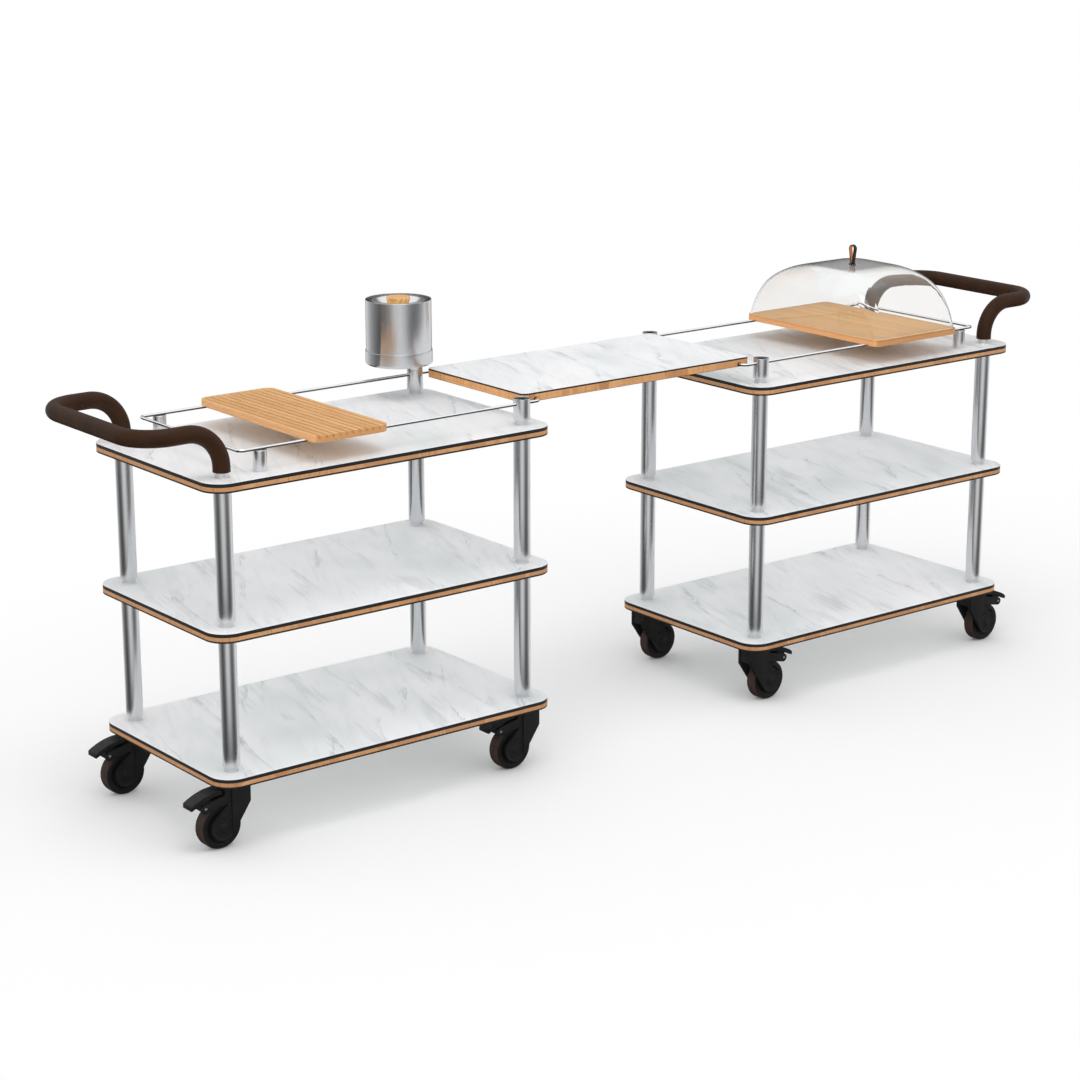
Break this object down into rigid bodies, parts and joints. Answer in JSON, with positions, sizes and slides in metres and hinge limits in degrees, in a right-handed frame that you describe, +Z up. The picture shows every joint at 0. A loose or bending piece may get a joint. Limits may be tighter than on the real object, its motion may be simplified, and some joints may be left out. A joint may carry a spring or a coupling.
{
  "type": "buffet cart set with bridge board",
  "caption": "Shelved buffet trolleys on braked swivel casters, joined by a marble bridge board, with rails, sliding boards, a lift-off clear cover and a turning lidded container.",
  "frame": {"origin": "on the floor, midway between the carts and on the shelves' long centre line", "axes": "+X along the set from the left cart to the right cart, +Y away from the guest, +Z up"},
  "size_m": [2.73, 0.548, 1.0723],
  "materials": {
    "marble_laminate": "white compact laminate with grey marble veins on a black core",
    "bamboo_core": "oiled laminated bamboo, end strips showing",
    "black_backing": "matt black balancing laminate",
    "stainless_tube": "brushed stainless steel",
    "polished_rod": "polished stainless rod",
    "zinc_steel": "zinc plated steel, hidden",
    "brown_handle": "matt dark brown coating on steel tube",
    "black_plastic": "satin black moulded nylon",
    "brown_tread": "dark brown rubber tread",
    "board_wood": "oiled light bamboo",
    "clear_cover": "clear thermoformed acrylic",
    "strap_leather": "dark brown leather strap with a tan inner face",
    "polished_pot": "polished stainless sheet"
  },
  "bodies": {
    "carts": {"posts": "stainless_tube", "post_feet": "stainless_tube", "tie_rods": "zinc_steel", "post_caps": "black_plastic", "rail_standoffs": "stainless_tube", "bridge_pins": "polished_rod", "bridge_board": "bamboo_core", "bridge_laminate": "marble_laminate", "caster_stems": "zinc_steel", "left_shelf_laminates": "marble_laminate", "left_shelf_cores": "bamboo_core", "left_shelf_backings": "black_backing", "left_handle": "brown_handle", "left_rail": "polished_rod", "right_shelf_laminates": "marble_laminate", "right_shelf_cores": "bamboo_core", "right_shelf_backings": "black_backing", "right_handle": "brown_handle", "right_rail": "polished_rod"},
    "bread_board": {"bread_board": "board_wood"},
    "serving_board": {"serving_board": "board_wood"},
    "cover": {"cover": "clear_cover", "cover_strap": "strap_leather"},
    "container": {"container_base": "stainless_tube", "container_sleeve": "stainless_tube", "container_pot": "polished_pot"},
    "container_lid": {"container_lid": "polished_pot", "container_knob": "board_wood"},
    "left_end_front_caster": {"left_end_front_fork": "black_plastic"},
    "left_end_front_wheel": {"left_end_front_wheel": "black_plastic", "left_end_front_tyre": "brown_tread"},
    "left_end_front_pedal": {"left_end_front_pedal": "black_plastic"},
    "left_end_back_caster": {"left_end_back_fork": "black_plastic"},
    "left_end_back_wheel": {"left_end_back_wheel": "black_plastic", "left_end_back_tyre": "brown_tread"},
    "left_end_back_pedal": {"left_end_back_pedal": "black_plastic"},
    "left_bridge_front_caster": {"left_bridge_front_fork": "black_plastic"},
    "left_bridge_front_wheel": {"left_bridge_front_wheel": "black_plastic", "left_bridge_front_tyre": "brown_tread"},
    "left_bridge_front_pedal": {"left_bridge_front_pedal": "black_plastic"},
    "left_bridge_back_caster": {"left_bridge_back_fork": "black_plastic"},
    "left_bridge_back_wheel": {"left_bridge_back_wheel": "black_plastic", "left_bridge_back_tyre": "brown_tread"},
    "left_bridge_back_pedal": {"left_bridge_back_pedal": "black_plastic"},
    "right_end_front_caster": {"right_end_front_fork": "black_plastic"},
    "right_end_front_wheel": {"right_end_front_wheel": "black_plastic", "right_end_front_tyre": "brown_tread"},
    "right_end_front_pedal": {"right_end_front_pedal": "black_plastic"},
    "right_end_back_caster": {"right_end_back_fork": "black_plastic"},
    "right_end_back_wheel": {"right_end_back_wheel": "black_plastic", "right_end_back_tyre": "brown_tread"},
    "right_end_back_pedal": {"right_end_back_pedal": "black_plastic"},
    "right_bridge_front_caster": {"right_bridge_front_fork": "black_plastic"},
    "right_bridge_front_wheel": {"right_bridge_front_wheel": "black_plastic", "right_bridge_front_tyre": "brown_tread"},
    "right_bridge_front_pedal": {"right_bridge_front_pedal": "black_plastic"},
    "right_bridge_back_caster": {"right_bridge_back_fork": "black_plastic"},
    "right_bridge_back_wheel": {"right_bridge_back_wheel": "black_plastic", "right_bridge_back_tyre": "brown_tread"},
    "right_bridge_back_pedal": {"right_bridge_back_pedal": "black_plastic"}
  },
  "joints": [
    {"name": "bread_board_slide", "type": "slide", "parent": "carts", "child": "bread_board", "axis": [1, 0, 0], "range_m": [-0.15, 0.355]},
    {"name": "serving_board_slide", "type": "slide", "parent": "carts", "child": "serving_board", "axis": [1, 0, 0], "range_m": [-0.335, 0.07]},
    {"name": "cover_lift", "type": "slide", "parent": "serving_board", "child": "cover", "axis": [0, 0, 1], "range_m": [0, 0.25]},
    {"name": "container_turn", "type": "hinge", "parent": "carts", "child": "container", "pos_m": [-0.366, 0.2065, 0.813], "axis": [0, 0, 1], "continuous": true},
    {"name": "container_lid_lift", "type": "slide", "parent": "container", "child": "container_lid", "axis": [0, 0, 1], "range_m": [0, 0.12]},
    {"name": "left_end_front_swivel", "type": "hinge", "parent": "carts", "child": "left_end_front_caster", "pos_m": [-1.154, -0.2065, 0.13], "axis": [0, 0, 1], "continuous": true},
    {"name": "left_end_front_roll", "type": "hinge", "parent": "left_end_front_caster", "child": "left_end_front_wheel", "pos_m": [-1.192, -0.2065, 0.05], "axis": [0, 1, 0], "continuous": true},
    {"name": "left_end_front_brake", "type": "hinge", "parent": "left_end_front_caster", "child": "left_end_front_pedal", "pos_m": [-1.234, -0.2065, 0.102], "axis": [0, -1, 0], "range_deg": [0, 12]},
    {"name": "left_end_back_swivel", "type": "hinge", "parent": "carts", "child": "left_end_back_caster", "pos_m": [-1.154, 0.2065, 0.13], "axis": [0, 0, 1], "continuous": true},
    {"name": "left_end_back_roll", "type": "hinge", "parent": "left_end_back_caster", "child": "left_end_back_wheel", "pos_m": [-1.192, 0.2065, 0.05], "axis": [0, 1, 0], "continuous": true},
    {"name": "left_end_back_brake", "type": "hinge", "parent": "left_end_back_caster", "child": "left_end_back_pedal", "pos_m": [-1.234, 0.2065, 0.102], "axis": [0, -1, 0], "range_deg": [0, 12]},
    {"name": "left_bridge_front_swivel", "type": "hinge", "parent": "carts", "child": "left_bridge_front_caster", "pos_m": [-0.366, -0.2065, 0.13], "axis": [0, 0, 1], "continuous": true},
    {"name": "left_bridge_front_roll", "type": "hinge", "parent": "left_bridge_front_caster", "child": "left_bridge_front_wheel", "pos_m": [-0.404, -0.2065, 0.05], "axis": [0, 1, 0], "continuous": true},
    {"name": "left_bridge_front_brake", "type": "hinge", "parent": "left_bridge_front_caster", "child": "left_bridge_front_pedal", "pos_m": [-0.446, -0.2065, 0.102], "axis": [0, -1, 0], "range_deg": [0, 12]},
    {"name": "left_bridge_back_swivel", "type": "hinge", "parent": "carts", "child": "left_bridge_back_caster", "pos_m": [-0.366, 0.2065, 0.13], "axis": [0, 0, 1], "continuous": true},
    {"name": "left_bridge_back_roll", "type": "hinge", "parent": "left_bridge_back_caster", "child": "left_bridge_back_wheel", "pos_m": [-0.404, 0.2065, 0.05], "axis": [0, 1, 0], "continuous": true},
    {"name": "left_bridge_back_brake", "type": "hinge", "parent": "left_bridge_back_caster", "child": "left_bridge_back_pedal", "pos_m": [-0.446, 0.2065, 0.102], "axis": [0, -1, 0], "range_deg": [0, 12]},
    {"name": "right_end_front_swivel", "type": "hinge", "parent": "carts", "child": "right_end_front_caster", "pos_m": [1.154, -0.2065, 0.13], "axis": [0, 0, 1], "continuous": true},
    {"name": "right_end_front_roll", "type": "hinge", "parent": "right_end_front_caster", "child": "right_end_front_wheel", "pos_m": [1.192, -0.2065, 0.05], "axis": [0, 1, 0], "continuous": true},
    {"name": "right_end_front_brake", "type": "hinge", "parent": "right_end_front_caster", "child": "right_end_front_pedal", "pos_m": [1.234, -0.2065, 0.102], "axis": [0, 1, 0], "range_deg": [0, 12]},
    {"name": "right_end_back_swivel", "type": "hinge", "parent": "carts", "child": "right_end_back_caster", "pos_m": [1.154, 0.2065, 0.13], "axis": [0, 0, 1], "continuous": true},
    {"name": "right_end_back_roll", "type": "hinge", "parent": "right_end_back_caster", "child": "right_end_back_wheel", "pos_m": [1.192, 0.2065, 0.05], "axis": [0, 1, 0], "continuous": true},
    {"name": "right_end_back_brake", "type": "hinge", "parent": "right_end_back_caster", "child": "right_end_back_pedal", "pos_m": [1.234, 0.2065, 0.102], "axis": [0, 1, 0], "range_deg": [0, 12]},
    {"name": "right_bridge_front_swivel", "type": "hinge", "parent": "carts", "child": "right_bridge_front_caster", "pos_m": [0.366, -0.2065, 0.13], "axis": [0, 0, 1], "continuous": true},
    {"name": "right_bridge_front_roll", "type": "hinge", "parent": "right_bridge_front_caster", "child": "right_bridge_front_wheel", "pos_m": [0.404, -0.2065, 0.05], "axis": [0, 1, 0], "continuous": true},
    {"name": "right_bridge_front_brake", "type": "hinge", "parent": "right_bridge_front_caster", "child": "right_bridge_front_pedal", "pos_m": [0.446, -0.2065, 0.102], "axis": [0, 1, 0], "range_deg": [0, 12]},
    {"name": "right_bridge_back_swivel", "type": "hinge", "parent": "carts", "child": "right_bridge_back_caster", "pos_m": [0.366, 0.2065, 0.13], "axis": [0, 0, 1], "continuous": true},
    {"name": "right_bridge_back_roll", "type": "hinge", "parent": "right_bridge_back_caster", "child": "right_bridge_back_wheel", "pos_m": [0.404, 0.2065, 0.05], "axis": [0, 1, 0], "continuous": true},
    {"name": "right_bridge_back_brake", "type": "hinge", "parent": "right_bridge_back_caster", "child": "right_bridge_back_pedal", "pos_m": [0.446, 0.2065, 0.102], "axis": [0, 1, 0], "range_deg": [0, 12]}
  ]
}
